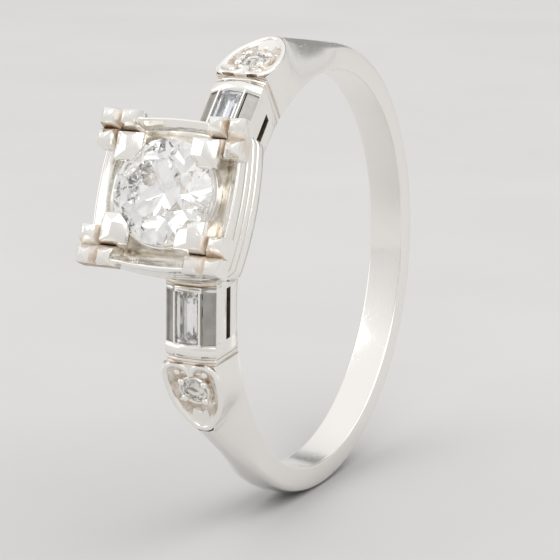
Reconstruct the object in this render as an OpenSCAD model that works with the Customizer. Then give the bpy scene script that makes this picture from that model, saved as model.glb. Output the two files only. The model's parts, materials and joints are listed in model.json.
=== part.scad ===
// Vintage three-part engagement ring: a tall square head with fishtail corners holds one round
// brilliant, and each shoulder carries a baguette box and a heart plate with a small brilliant.
// Sizes are in millimetres. Every piece is drawn head up: X runs along the finger, Y runs along
// the band towards the upper shoulder, Z points out through the head, and the origin is the
// centre of the finger hole. as_it_stands() then leans the whole ring back onto its shank.

/* [Stance] */
// How far the head is raised above the horizontal, in degrees
head_lift = 23.5; // [0:0.5:90]

/* [Finger hole and shank] */
// Diameter of the finger hole
hole_d = 16.9; // [15.3:0.1:18.5]
// Width of the shank along the finger
shank_w = 1.6; // [1.4:0.05:1.9]
// Thickness of the shank at the crown of its outside
shank_t = 1.15; // [1.05:0.05:1.3]
// How much the crown of the shank stands above its side edges
shank_dome = 0.12; // [0.06:0.02:0.3]

/* [Baguette boxes] */
// Angle of each box round the ring, measured from the head
box_angle = 22; // [21.5:0.1:22.5]
// Length of a box along the band
box_l = 3.1; // [2.9:0.05:3.2]
// Width of a box across its outer edges
box_w = 2.2; // [2.05:0.05:2.4]
// Height of the outer edges of a box above the finger hole
box_edge_h = 2.32; // [2.26:0.02:2.4]
// Height of the channel that holds the baguette above those edges
channel_rise = 0.44; // [0.3:0.02:0.5]
// Length of each baguette
baguette_l = 2.05; // [1.7:0.05:2.15]
// Width of each baguette
baguette_w = 1; // [0.8:0.02:1.06]
// Thickness of the collar between box and shoulder
collar_t = 0.3; // [0.2:0.02:0.36]

/* [Heart plates] */
// Angle of the heart plate's normal from the head
heart_angle = 48; // [47:0.5:49]
// Height of the face of the heart plate above the finger hole, along that normal
heart_h = 2.4; // [2.34:0.02:2.46]
// Length of the heart from lobe to tip
heart_l = 3.4; // [3.34:0.02:3.5]
// Width of the heart
heart_w = 2.5; // [2.36:0.02:2.7]
// Thickness of the heart plate
heart_t = 0.5; // [0.4:0.02:0.6]
// Diameter of the small round stone
heart_stone_d = 1.14; // [0.9:0.02:1.24]

/* [Head] */
// Height of the underside of the square frame above the finger hole
frame_base_h = 3.45; // [3.35:0.05:3.7]
// Height of the square frame
frame_h = 2.05; // [1.95:0.05:2.3]
// Half the width of the square frame over its flats
frame_half = 2.95; // [2.9:0.01:3.05]
// Thickness of the wall of the square frame
frame_wall = 0.5; // [0.4:0.02:0.54]
// Diameter of the centre stone
stone_d = 4.1; // [3.9:0.02:4.3]
// Height of the girdle of the centre stone above the top of the frame
girdle_rise = 0.3; // [0.2:0.02:0.4]
// Side of each square corner post
post_w = 0.67; // [0.64:0.01:0.72]
// Width of the cross-shaped groove between the posts
groove_w = 0.2; // [0.16:0.01:0.24]

/* [Hidden] */

$fn = 96;
hull_fn = 32;                                   // roundness of shapes that are only hulled
skin = 0.02;                                    // thickness of the slices that hulls join
over = 1;                                       // how far a cutter runs past what it cuts
through = 20;                                   // length of cutters that run right through the ring

gold = [0.87, 0.85, 0.82];
bright_gold = [0.93, 0.92, 0.9];
warm_gold = [0.8, 0.74, 0.66];
diamond = [0.9, 0.95, 0.98];

hole_r = hole_d / 2;
crown_r = hole_r + shank_t;
foot_half = shank_w / 2;                        // half width of every piece at the finger hole

box_edge_r = hole_r + box_edge_h;
channel_r = box_edge_r + channel_rise;
channel_wall = 0.08;                            // thin edge that holds the baguette
channel_half = baguette_w / 2 + channel_wall;
bar_l = (box_l - baguette_l) / 2;               // length of the raised bar at each end
bar_rise = 0.36;                                // crown of the arched end bars above the box edges
bar_r = box_edge_r + bar_rise;
window_l = 2.05;                                // slot window in each side of a box
window_h = 0.45;
window_r = hole_r + 0.98;                       // middle of the window
seat_drop = 0.7;                                // depth of the baguette below its channel walls
azure_margin = 0.16;                            // ledge under the edge of a stone
box_half = box_l / 2;
collar_end = box_half + collar_t;               // where collar and shoulder meet
collar_waist = 0.09;                            // depth of the groove round a collar
collar_rise = 0.12;                             // crown of a collar above the box edges

heart_r = hole_r + heart_h;
heart_under_r = heart_r - heart_t;
heart_tip = 0.14;                               // tip and lobe line, along the plate
heart_top = heart_tip - heart_l;
tip_half = 0.26;                                // half width of the blunt tip
lobe_r = heart_w * 0.27;
lobe_x = heart_w / 2 - lobe_r;
lobe_y = heart_top + lobe_r;
side_arc_y = lobe_y + 0.5;                      // the heart is widest from here to its lobes
side_arc_r = arc_through(heart_w / 2 - tip_half, heart_tip - side_arc_y);
rim_w = 0.2;                                    // raised rim round the field of the heart
field_drop = 0.2;
heart_stone_y = heart_tip - 2.02;
grain_r = 0.13;

ridge_half = 0.24;                              // half width of the ridge behind the heart
bevel_w = 0.16;                                 // bevel beside the ridge, across and down
bevel_drop = 0.18;
flank_swell = 0.1;                              // how far the foot of a shoulder swells each side
shoulder_start = box_angle + 4;                 // hidden in the collar, where the shoulder is cut
tip_angle = heart_angle + atan(heart_tip / heart_under_r);
tip_r = heart_under_r / cos(tip_angle - heart_angle) + heart_t - 0.05;
shank_angle = tip_angle + acos(crown_r / tip_r);    // where the straight ridge meets the crown

frame_z = hole_r + frame_base_h;
frame_top = frame_z + frame_h;
cavity_half = frame_half - frame_wall;
moat_drop = 0.55;                               // depth of the moat between wall and basket
moat_z = frame_top - moat_drop;
bow_r = 15;                                     // radius of the bowed sides of the frame
corner_reach = 1.26;                            // reach of the frame's corners, times its half width
stone_r = stone_d / 2;
girdle_z = frame_top + girdle_rise;
girdle_t = 0.06;
crown_h = stone_d * 0.15;
table_r = stone_d * 0.28;
basket_r = stone_r + 0.05;
claw_at = (basket_r + 0.02) / sqrt(2) + post_w / 2; // centre of a claw from the head's axis
post_at = claw_at + post_w + groove_w;              // centre of the outer posts
corner_cut = claw_at - post_w / 2;                  // inner edge of a corner block
corner_z = frame_top - 0.2;                         // seat of a corner block in the frame
post_top = frame_top + 0.42;
post_tip = 0.42;
claw_reach = 1.08;                              // inner faces of a claw's head, from the head's axis
gallery_half = 2.5;
gallery_t = 0.5;
culet_hole_r = 1.15;                            // light hole under the centre stone

// Radius of an arc that starts straight and drifts sideways by rise over a length
function arc_through(rise, length) = (rise * rise + length * length) / (2 * rise);

// A point of the side view: slide along the band and r outwards, in axes turned by angle
function side_point(angle, slide, r) =
    [r * sin(angle) + slide * cos(angle), r * cos(angle) - slide * sin(angle)];

// Leans the ring from head up to its standing pose
module as_it_stands() {
    rotate([90 - head_lift, 0, 0]) children();
}

// Axes on the band at an angle from the head: X across, Y away from the head, Z outwards
module on_band(angle) {
    rotate([-angle, 0, 0]) children();
}

// Draws the upper shoulder's side as it is, or turned round to the lower shoulder
module on_side(lower) {
    rotate([0, 0, lower ? 180 : 0]) children();
}

// The finger hole as a cutter
module finger_bore() {
    rotate([0, 90, 0]) cylinder(r = hole_r, h = through, center = true);
}

// ---- Shank and shoulders ----

// Section of the band, X outwards from the ring's centre and Y across
module shank_section() {
    dome_r = (foot_half * foot_half + shank_dome * shank_dome) / (2 * shank_dome);
    intersection() {
        translate([hole_r, -foot_half]) square([shank_t, shank_w]);
        translate([crown_r - dome_r, 0]) circle(r = dome_r);
    }
}

module shank() {
    turn = 360 - 2 * shank_angle;
    color(gold) as_it_stands()
        rotate([0, 90, 0]) rotate([0, 0, -turn / 2])
            rotate_extrude(angle = turn) shank_section();
}

// Outline of a heart, tip towards +Y, grown outwards by extra
module heart_outline(extra = 0) {
    for (side = [-1, 1])
        translate([side * lobe_x, lobe_y]) circle(r = lobe_r + extra);
    intersection() {
        translate([-heart_w, lobe_y]) square([heart_w * 2, heart_tip + extra - lobe_y]);
        translate([side_arc_r - heart_w / 2, side_arc_y]) circle(r = side_arc_r + extra);
        translate([heart_w / 2 - side_arc_r, side_arc_y]) circle(r = side_arc_r + extra);
    }
    translate([-lobe_x, lobe_y - lobe_r * 0.5]) square([lobe_x * 2, lobe_r]);
}

// Half width of the heart at a place along it, narrowing to the collar's beyond its lobes
function heart_half(y) =
    y > side_arc_y
    ? heart_w / 2 - side_arc_r + sqrt(side_arc_r * side_arc_r - (y - side_arc_y) * (y - side_arc_y))
    : y > lobe_y ? heart_w / 2
    : max(box_w / 2, heart_w / 2 - (heart_w - box_w) / 2 * (lobe_y - y) / lobe_r);

// Section of a shoulder at an angle: foot, edge of the flank and edge of the ridge, X across
// and r outwards. Below the heart the flank rises to its outline, behind it to the ridge.
function shoulder_section(angle) =
    let (along = (angle - shoulder_start) / (shank_angle - shoulder_start),
         foot = [foot_half + flank_swell * sin(180 * along), hole_r - over])
    angle <= tip_angle
    ? let (top_r = heart_under_r / cos(heart_angle - angle),
           half = max(ridge_half, heart_half(-heart_under_r * tan(heart_angle - angle))))
      [foot, [half, top_r - skin], [half * 0.9, top_r]]
    : let (t = (angle - tip_angle) / (shank_angle - tip_angle),
           ridge_r = crown_r / cos(shank_angle - angle))
      [foot,
       [ridge_half + bevel_w + (foot_half - ridge_half - bevel_w) * t * t,
        ridge_r - bevel_drop + (bevel_drop - shank_dome) * t],
       [ridge_half, ridge_r]];

// Solid through a row of closed sections with the same number of points
module loft(sections) {
    n = len(sections[0]);
    last = len(sections) - 1;
    polyhedron(
        points = [for (section = sections) each section],
        faces = concat(
            [[for (k = [n - 1:-1:0]) k]],
            [for (j = [0:last - 1], k = [0:n - 1], half = [0, 1])
                let (a = j * n + k, b = j * n + (k + 1) % n)
                half == 0 ? [a, b, b + n] : [a, b + n, a + n]],
            [[for (k = [0:n - 1]) last * n + k]]));
}

// Flank below the heart plate and the tapering ridge behind it, with the band's bore and a
// light hole under the stone
module shoulder() {
    steps = 26;
    ridge_steps = 12;
    heart_turn = tip_angle - shoulder_start;
    ridge_turn = shank_angle - tip_angle;
    step_up = 0.02;                             // the ridge starts in a step behind the tip
    angles = [for (k = [0:steps]) shoulder_start + heart_turn * k / steps,
              for (k = [0:ridge_steps])
                  tip_angle + ridge_turn * (step_up + (1 - step_up) * k / ridge_steps)];
    difference() {
        loft([for (angle = angles)
            let (right = shoulder_section(angle))
            [for (p = right) [p[0], p[1] * sin(angle), p[1] * cos(angle)],
             for (k = [2:-1:0])
                [-right[k][0], right[k][1] * sin(angle), right[k][1] * cos(angle)]]]);
        finger_bore();
        before_shoulder();
        on_band(heart_angle) translate([0, heart_stone_y, 0])
            cylinder(r = heart_stone_d / 2 - azure_margin, h = through);
    }
}

// Everything on the box's side of the face where collar and shoulder meet
module before_shoulder() {
    on_band(box_angle) translate([-through / 2, collar_end - through / 2, 0])
        cube([through, through / 2, through]);
}

// ---- Baguette boxes and collars ----

// Section shared by box and collar: narrow at the finger, wide at the outer edges
module box_section(top_r, inset = 0) {
    half = box_w / 2;
    polygon([[inset - foot_half, hole_r - over], [foot_half - inset, hole_r - over],
             [half - inset, box_edge_r - inset], [channel_half, top_r],
             [-channel_half, top_r], [inset - half, box_edge_r - inset]]);
}

// Runs a section drawn in X and Z along the band
module along_band(from, to) {
    translate([0, to, 0]) rotate([90, 0, 0]) linear_extrude(to - from) children();
}

// Arched bar that closes each end of a box
module end_bar() {
    half = box_w / 2;
    arch_r = (half * half + bar_rise * bar_rise) / (2 * bar_rise);
    intersection() {
        polygon([[-foot_half, hole_r - over], [foot_half, hole_r - over],
                 [half, box_edge_r], [half, bar_r], [-half, bar_r], [-half, box_edge_r]]);
        translate([0, bar_r - arch_r]) circle(r = arch_r);
    }
}

module baguette_box() {
    on_band(box_angle) difference() {
        union() {
            along_band(-box_half, box_half) box_section(channel_r);
            along_band(-box_half, bar_l - box_half) end_bar();
            along_band(box_half - bar_l, box_half) end_bar();
        }
        // the channel is cut down to the lower end bars
        for (end = [-1, 1])
            translate([-box_w, end * (box_half - bar_l / 2) - bar_l / 2, bar_r])
                cube([2 * box_w, bar_l, over]);
        translate([-baguette_w / 2, -baguette_l / 2, channel_r - seat_drop])
            cube([baguette_w, baguette_l, seat_drop + over]);
        translate([azure_margin - baguette_w / 2, azure_margin - baguette_l / 2, 0])
            cube([baguette_w - 2 * azure_margin, baguette_l - 2 * azure_margin, through]);
        translate([-box_w, -window_l / 2, window_r - window_h / 2])
            cube([2 * box_w, window_l, window_h]);
        rotate([box_angle, 0, 0]) finger_bore();
    }
}

// Stepped plate between a box and its shoulder, waisted by a fine groove
module collar() {
    step = collar_t / 3;
    on_band(box_angle) difference() {
        union() {
            along_band(box_half, box_half + step)
                box_section(box_edge_r + collar_rise, collar_waist);
            along_band(box_half + step, collar_end) box_section(box_edge_r + collar_rise);
        }
        rotate([box_angle, 0, 0]) finger_bore();
    }
}

// ---- Heart plates ----

module heart_plate() {
    on_band(heart_angle) difference() {
        union() {
            translate([0, 0, heart_under_r]) difference() {
                linear_extrude(heart_t) heart_outline();
                translate([0, 0, heart_t - field_drop])
                    linear_extrude(over) heart_outline(-rim_w);
            }
            for (turn = [45:90:315])
                translate([0, heart_stone_y, heart_r - field_drop]) rotate([0, 0, turn])
                    translate([heart_stone_d / 2 + grain_r * 0.5, 0, 0])
                        cylinder(r = grain_r, h = field_drop);
        }
        translate([0, heart_stone_y, heart_under_r - over])
            cylinder(r = heart_stone_d / 2, h = heart_t + 2 * over);
        rotate([heart_angle, 0, 0]) before_shoulder();
    }
}

// ---- Head ----

// Square with bowed sides and clipped corners
module cushion(half) {
    intersection() {
        intersection_for (turn = [0:90:270])
            rotate(turn) translate([0, half - bow_r]) circle(r = bow_r);
        circle(r = half * corner_reach);
    }
}

// Puts a piece drawn for the +X +Y corner into the corner named by its two signs
module in_corner(near, upper) {
    rotate([0, 0, (near ? 0 : 90) + (upper ? 0 : (near ? -90 : 90))]) children();
}

// Block under the head that joins the two boxes and carries the gallery
module bridge() {
    half_turn = side_point(box_angle, -box_half, hole_r - over);
    half_top = side_point(box_angle, -box_half, box_edge_r);
    neck = 1.5;
    color(gold) as_it_stands() difference() {
        rotate([90, 0, 90]) linear_extrude(2 * foot_half, center = true)
            polygon([[-half_turn[0], half_turn[1]], [half_turn[0], half_turn[1]],
                     [half_top[0], half_top[1]], [neck, frame_z - gallery_t],
                     [-neck, frame_z - gallery_t], [-half_top[0], half_top[1]]]);
        finger_bore();
        cylinder(r = culet_hole_r / 2, h = through);
    }
}

// Plate that closes the underside of the head round the light hole
module head_gallery() {
    color(warm_gold) as_it_stands() translate([0, 0, frame_z - gallery_t]) difference() {
        linear_extrude(gallery_t) cushion(gallery_half);
        translate([0, 0, -over]) cylinder(r = culet_hole_r, h = 2 * over + gallery_t);
    }
}

// Square wall of the head, stepped outside, with a moat inside it round the basket
module head_frame() {
    band_h = frame_h / 4;
    line_h = 0.14;
    color(bright_gold) as_it_stands() difference() {
        translate([0, 0, frame_z]) union() {
            linear_extrude(frame_h) cushion(frame_half - 0.12);
            for (band = [0:3])
                translate([0, 0, band * band_h])
                    linear_extrude(band_h - (band < 3 ? line_h : 0)) cushion(frame_half);
        }
        translate([0, 0, moat_z]) linear_extrude(moat_drop + over) cushion(cavity_half);
        translate([0, 0, frame_z - over]) cylinder(r = basket_r, h = through);
        for (turn = [0:90:270]) rotate(turn)
            translate([corner_cut, corner_cut, corner_z]) cube([3, 3, 3]);
    }
}

// Round seat that stands on the gallery and carries the centre stone
module stone_basket() {
    seat_z = girdle_z - 0.45;
    wall = 0.32;
    color(warm_gold) as_it_stands() rotate_extrude() polygon([
        [basket_r - wall, frame_z], [basket_r, frame_z], [basket_r, seat_z],
        [basket_r - 0.1, seat_z], [basket_r - 0.1 - wall, seat_z - 0.55]]);
}

// Cone that keeps metal clear of the crown of the centre stone
module crown_clearance() {
    gap = 0.01;
    slope = crown_h / (stone_r - table_r);
    translate([0, 0, girdle_z - 0.6]) cylinder(r = stone_r + gap, h = 0.6 + girdle_t);
    translate([0, 0, girdle_z + girdle_t])
        cylinder(r1 = stone_r + gap, r2 = 0, h = (stone_r + gap) * slope);
}

// Inner corner post with a fat ridged head that leans over the edge of the stone
module claw() {
    outer = corner_cut + post_w;
    ridge_at = 1.5;
    ridge_l = 0.7;
    difference() {
        union() {
            translate([corner_cut, corner_cut, moat_z])
                cube([post_w, post_w, girdle_z - moat_z]);
            hull() {
                translate([corner_cut, corner_cut, girdle_z - skin]) cube([post_w, post_w, skin]);
                translate([claw_reach, claw_reach, girdle_z + 0.2])
                    cube([outer - claw_reach, outer - claw_reach, 0.1]);
                translate([ridge_at, ridge_at - 0.2, post_top + post_tip - skin])
                    cube([0.2, ridge_l, skin]);
            }
        }
        crown_clearance();
    }
}

// Pyramid-topped square post
module post(x, y) {
    half = post_w / 2;
    translate([x - half, y - half, corner_z]) cube([post_w, post_w, post_top - corner_z]);
    hull() {
        translate([x - half, y - half, post_top - skin]) cube([post_w, post_w, skin]);
        translate([x - half * 0.4, y - half * 0.4, post_top + post_tip - skin])
            cube([post_w * 0.4, post_w * 0.4, skin]);
    }
}

// Three posts round the outside of a corner, parted by the cross-shaped groove
module fishtail() {
    reach = post_at + post_w / 2;
    base_top = frame_top - 0.1;
    difference() {
        translate([corner_cut, corner_cut, corner_z])
            cube([reach - corner_cut, reach - corner_cut, base_top - corner_z]);
        translate([0, 0, corner_z - over])
            cube([post_at - post_w / 2, post_at - post_w / 2, 4]);
    }
    post(post_at, post_at);
    post(post_at, claw_at);
    post(claw_at, post_at);
}

// ---- Stones ----

// Round brilliant with its girdle at the origin
module brilliant(d) {
    hull() {
        translate([0, 0, d * 0.15]) rotate(22.5) cylinder(r = d * 0.28, h = skin / 2, $fn = 8);
        cylinder(r = d / 2, h = d * 0.013, $fn = hull_fn);
        translate([0, 0, -d * 0.43]) cylinder(r = d * 0.01, h = skin / 2, $fn = 8);
    }
}

// Step-cut baguette with its table at the origin
module baguette_stone() {
    crown = 0.22;
    pavilion = seat_drop - crown;
    keel_w = baguette_w - 2 * azure_margin;
    hull() {
        translate([-baguette_w * 0.32, -baguette_l * 0.38, -skin])
            cube([baguette_w * 0.64, baguette_l * 0.76, skin]);
        translate([-baguette_w / 2, -baguette_l / 2, -crown - 0.06])
            cube([baguette_w, baguette_l, 0.06]);
        translate([-keel_w / 2, -baguette_l / 2 + azure_margin, -crown - pavilion])
            cube([keel_w, baguette_l - 2 * azure_margin, skin]);
    }
}

module baguette() {
    color(diamond) on_band(box_angle) translate([0, 0, channel_r]) baguette_stone();
}

module heart_stone() {
    color(diamond) on_band(heart_angle)
        translate([0, heart_stone_y, heart_r - 0.12]) brilliant(heart_stone_d);
}

module centre_stone() {
    color(diamond) as_it_stands() translate([0, 0, girdle_z]) brilliant(stone_d);
}

// ---- Placed pieces ----

module side_piece(lower, tint = gold) {
    color(tint) as_it_stands() on_side(lower) children();
}

module corner_piece(near, upper, tint) {
    color(tint) as_it_stands() in_corner(near, upper) children();
}

shank();
side_piece(false) shoulder();  // upper_shoulder
side_piece(true) shoulder();  // lower_shoulder
side_piece(false, warm_gold) collar();  // upper_collar
side_piece(true, warm_gold) collar();  // lower_collar
side_piece(false) baguette_box();  // upper_baguette_box
side_piece(true) baguette_box();  // lower_baguette_box
side_piece(false) heart_plate();  // upper_heart_plate
side_piece(true) heart_plate();  // lower_heart_plate
bridge();
head_gallery();
head_frame();
stone_basket();
corner_piece(false, true, gold) claw();  // claw_upper_far
corner_piece(true, true, gold) claw();  // claw_upper_near
corner_piece(false, false, gold) claw();  // claw_lower_far
corner_piece(true, false, gold) claw();  // claw_lower_near
corner_piece(false, true, bright_gold) fishtail();  // fishtail_upper_far
corner_piece(true, true, bright_gold) fishtail();  // fishtail_upper_near
corner_piece(false, false, bright_gold) fishtail();  // fishtail_lower_far
corner_piece(true, false, bright_gold) fishtail();  // fishtail_lower_near
centre_stone();
side_piece(false, diamond) baguette();  // upper_baguette
side_piece(true, diamond) baguette();  // lower_baguette
side_piece(false, diamond) heart_stone();  // upper_heart_stone
side_piece(true, diamond) heart_stone();  // lower_heart_stone
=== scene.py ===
"""Vintage three-part engagement ring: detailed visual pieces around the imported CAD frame.

Every piece is drawn in millimetres in bench axes, head up: X along the finger, Y along the band
towards the upper shoulder, Z out through the head, origin at the centre of the finger hole.
BENCH_TO_ROW then leans the ring back onto its shank and turns millimetres into metres. The
driving sizes are read from the CAD nodes, so the pieces follow the CAD when it changes.
"""
import json
import math
import random

import bmesh
import bpy
from mathutils import Matrix, Vector


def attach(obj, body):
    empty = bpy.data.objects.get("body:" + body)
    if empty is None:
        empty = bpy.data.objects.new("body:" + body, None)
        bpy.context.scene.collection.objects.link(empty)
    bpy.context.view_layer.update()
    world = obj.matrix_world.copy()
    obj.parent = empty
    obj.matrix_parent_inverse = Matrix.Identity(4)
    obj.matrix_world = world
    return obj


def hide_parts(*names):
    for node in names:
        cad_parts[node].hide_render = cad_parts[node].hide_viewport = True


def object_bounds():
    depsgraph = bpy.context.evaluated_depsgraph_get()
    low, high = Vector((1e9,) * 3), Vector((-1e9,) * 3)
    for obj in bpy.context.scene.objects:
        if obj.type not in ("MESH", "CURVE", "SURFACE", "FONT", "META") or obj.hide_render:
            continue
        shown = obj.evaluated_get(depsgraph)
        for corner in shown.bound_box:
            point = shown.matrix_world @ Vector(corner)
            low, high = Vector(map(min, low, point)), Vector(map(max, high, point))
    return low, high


MM = 0.001

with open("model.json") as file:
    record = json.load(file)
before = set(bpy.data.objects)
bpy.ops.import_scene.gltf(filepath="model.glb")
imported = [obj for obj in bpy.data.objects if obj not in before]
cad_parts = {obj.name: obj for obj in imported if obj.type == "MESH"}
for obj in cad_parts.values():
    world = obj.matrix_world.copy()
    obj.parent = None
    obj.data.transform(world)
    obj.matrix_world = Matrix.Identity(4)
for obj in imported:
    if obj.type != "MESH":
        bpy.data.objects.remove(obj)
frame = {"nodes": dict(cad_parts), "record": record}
cad_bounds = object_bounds()


# ---- Sizes read from the CAD ----

def mean_point(node):
    """Mean of a node's corners, in metres in the row frame."""
    vertices = frame["nodes"][node].data.vertices
    total = Vector((0, 0, 0))
    for vertex in vertices:
        total += vertex.co
    return total / len(vertices)


stone_middle = mean_point("centre_stone")
HEAD_LIFT = math.atan2(stone_middle.z, -stone_middle.y)
ROW_FROM_BENCH = Matrix.Rotation(math.pi / 2 - HEAD_LIFT, 4, "X")
BENCH_TO_ROW = ROW_FROM_BENCH @ Matrix.Scale(MM, 4)
ROW_TO_BENCH = BENCH_TO_ROW.inverted()


def turned(point, angle):
    """A point of the axes that lie on the band at an angle from the head, in bench axes."""
    x, y, z = point
    cos_a, sin_a = math.cos(angle), math.sin(angle)
    return (x, y * cos_a + z * sin_a, z * cos_a - y * sin_a)


def local_box(node, angle=0.0):
    """Lowest and highest corner of a node, in millimetres, in axes on the band at an angle."""
    points = [
        turned(ROW_TO_BENCH @ vertex.co, -angle) for vertex in frame["nodes"][node].data.vertices
    ]
    low = Vector(min(p[k] for p in points) for k in range(3))
    high = Vector(max(p[k] for p in points) for k in range(3))
    return low, high


def band_angle(point):
    """Angle from the head of a point in the row frame, positive towards the upper shoulder."""
    bench = ROW_TO_BENCH @ point
    return math.atan2(bench.y, bench.z)


def facing(node):
    """Angle from the head of the direction that the largest flat area of a node faces."""
    areas = {}
    for polygon in frame["nodes"][node].data.polygons:
        normal = ROW_FROM_BENCH.inverted() @ polygon.normal
        if abs(normal.x) < 0.01 and normal.z > 0:
            key = round(math.degrees(math.atan2(normal.y, normal.z)), 1)
            areas[key] = areas.get(key, 0.0) + polygon.area
    return math.radians(max(areas, key=areas.get))


HOLE_R = frame["record"]["mounts"][0]["dims"]["r_mm"]
BOX_ANGLE = band_angle(mean_point("upper_baguette"))
HEART_ANGLE = facing("upper_heart_plate")
CROWN_CLEARANCE = 0.003  # these two keep crown and posts just inside the CAD's box
POST_CLEARANCE = 0.005
shank_points = [ROW_TO_BENCH @ v.co for v in frame["nodes"]["shank"].data.vertices]
CROWN_R = max(math.hypot(p.y, p.z) for p in shank_points) - CROWN_CLEARANCE
FOOT_HALF = max(p.x for p in shank_points)
SHANK_ANGLE = min(abs(math.atan2(p.y, p.z)) for p in shank_points)

box_high = local_box("upper_baguette_box", BOX_ANGLE)[1]
BOX_HALF = box_high.y
BOX_HALF_W = box_high.x
CHANNEL_R = box_high.z  # top of the walls beside the baguette
BODY_R = CHANNEL_R - 0.16  # top of the box's body between them
BOX_EDGE_R = CHANNEL_R - 0.44  # outer edges of box and collar
COLLAR_END = local_box("upper_collar", BOX_ANGLE)[1].y
baguette_low, baguette_high = local_box("upper_baguette", BOX_ANGLE)
BAGUETTE_W = baguette_high.x - baguette_low.x
BAGUETTE_L = baguette_high.y - baguette_low.y

plate_low, plate_high = local_box("upper_heart_plate", HEART_ANGLE)
HEART_R = plate_high.z
HEART_W = plate_high.x - plate_low.x
HEART_TIP = plate_high.y
HEART_L = 3.4  # from the blunt tip to the ends of the lobes
HEART_UNDER_R = plate_low.z
heart_stone_low, heart_stone_high = local_box("upper_heart_stone", HEART_ANGLE)
HEART_STONE_Y = (heart_stone_low.y + heart_stone_high.y) / 2
HEART_STONE_R = (heart_stone_high.x - heart_stone_low.x) / 2

frame_low, frame_high = local_box("head_frame")
FRAME_HALF = frame_high.x
FRAME_BASE = frame_low.z
FRAME_TOP = frame_high.z
GIRDLE_Z = FRAME_TOP + 0.3
STONE_R = local_box("centre_stone")[1].x
BASKET_R = local_box("stone_basket")[1].x
post_high = local_box("fishtail_upper_near")[1]
POST_TOP = post_high.z
POST_REACH = post_high.x - POST_CLEARANCE


# ---- Mesh helpers ----

def as_object(bm, name):
    """Puts a mesh into the scene as an object of its own."""
    mesh = bpy.data.meshes.new(name)
    bm.to_mesh(mesh)
    bm.free()
    obj = bpy.data.objects.new(name, mesh)
    bpy.context.scene.collection.objects.link(obj)
    return obj


def piece(node, bm, materials, smooth_angle=35.0):
    """Turns a mesh drawn in bench millimetres into a finished piece that replaces a CAD node."""
    obj = as_object(bm, node.capitalize())
    mesh = obj.data
    mesh.transform(BENCH_TO_ROW)
    mesh.shade_smooth()
    mesh.set_sharp_from_angle(angle=math.radians(smooth_angle))
    for material in materials:
        mesh.materials.append(material)
    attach(obj, "root")
    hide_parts(node)


def paint(bm, index, angle, chosen):
    """Gives a material number to the faces whose middle, in axes at an angle, is chosen."""
    for face in bm.faces:
        middle = turned(face.calc_center_median(), -angle)
        normal = turned(face.normal, -angle)
        if chosen(middle, normal):
            face.material_index = index


def rounded(points, radii, steps=4):
    """Closed outline with each corner replaced by a curve that starts a radius before it."""
    result = []
    count = len(points)
    for k, (corner, radius) in enumerate(zip(points, radii)):
        corner = Vector(corner)
        before = Vector(points[k - 1]) - corner
        after = Vector(points[(k + 1) % count]) - corner
        start = corner + before.normalized() * min(radius, before.length * 0.48)
        end = corner + after.normalized() * min(radius, after.length * 0.48)
        for j in range(steps + 1):
            t = j / steps
            result.append(start * (1 - t) ** 2 + corner * 2 * t * (1 - t) + end * t * t)
    return result


def loft(bm, rings, loop=False):
    """Skins a row of closed rings with quads, and caps both ends or joins them in a loop."""
    rows = [[bm.verts.new(p) for p in ring] for ring in rings]
    count = len(rows[0])
    pairs = list(zip(rows, rows[1:]))
    if loop:
        pairs.append((rows[-1], rows[0]))
    for lower, upper in pairs:
        for k in range(count):
            n = (k + 1) % count
            bm.faces.new((lower[k], lower[n], upper[n], upper[k]))
    if not loop:
        bm.faces.new(list(reversed(rows[0])))
        bm.faces.new(rows[-1])


def outward(bm):
    """Points every face away from the inside of its shell."""
    bmesh.ops.recalc_face_normals(bm, faces=bm.faces)
    return bm


def merge_flats(bm, degrees):
    """Joins neighbouring faces that lie within an angle of one plane."""
    bmesh.ops.dissolve_limit(bm, angle_limit=math.radians(degrees), verts=bm.verts, edges=bm.edges)


def hull(bm, points):
    """Adds the convex hull of some points as a shell of its own."""
    verts = [bm.verts.new(p) for p in points]
    result = bmesh.ops.convex_hull(bm, input=verts)
    inside = {v for v in result["geom_interior"] if isinstance(v, bmesh.types.BMVert)}
    bmesh.ops.delete(bm, geom=list(inside), context="VERTS")


def spun(bm, angle):
    """Turns a mesh round the head's axis; half a turn takes it to the lower side."""
    bm.transform(Matrix.Rotation(angle, 4, "Z"))
    return bm


def combined(bm, others, operation):
    """The mesh after an exact boolean with each of the others in turn."""
    base, *tools = [as_object(each, "work") for each in (bm, *others)]
    for tool in tools:
        modifier = base.modifiers.new("boolean", "BOOLEAN")
        modifier.operation = operation
        modifier.solver = "EXACT"
        modifier.object = tool
    bpy.context.view_layer.update()
    graph = bpy.context.evaluated_depsgraph_get()
    meshes = [bpy.data.meshes.new_from_object(base.evaluated_get(graph))]
    result = bmesh.new()
    result.from_mesh(meshes[0])
    for obj in (base, *tools):
        meshes.append(obj.data)
        bpy.data.objects.remove(obj)
    for mesh in meshes:
        bpy.data.meshes.remove(mesh)
    return result


def cut(bm, cutters):
    """Takes each cutter away from a mesh."""
    return combined(bm, cutters, "DIFFERENCE")


def joined(first, *others):
    """Fuses overlapping closed shells into one."""
    return combined(first, others, "UNION")


def bevelled(bm, width, segments=2, angle=30.0):
    """Rounds every edge sharper than an angle."""
    edges = [
        e for e in bm.edges
        if len(e.link_faces) == 2 and e.calc_face_angle(0.0) > math.radians(angle)
    ]
    bmesh.ops.bevel(bm, geom=edges, offset=width, segments=segments, profile=0.5,
                    affect="EDGES", clamp_overlap=True)
    return bm


# ---- Materials ----

def add(tree, kind, inputs=None, **settings):
    """Adds a node; inputs holds values or sockets by input name or number."""
    node = tree.nodes.new(kind)
    for key, value in settings.items():
        setattr(node, key, value)
    for key, value in (inputs or {}).items():
        if isinstance(value, bpy.types.NodeSocket):
            tree.links.new(value, node.inputs[key])
        else:
            node.inputs[key].default_value = value
    return node


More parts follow.
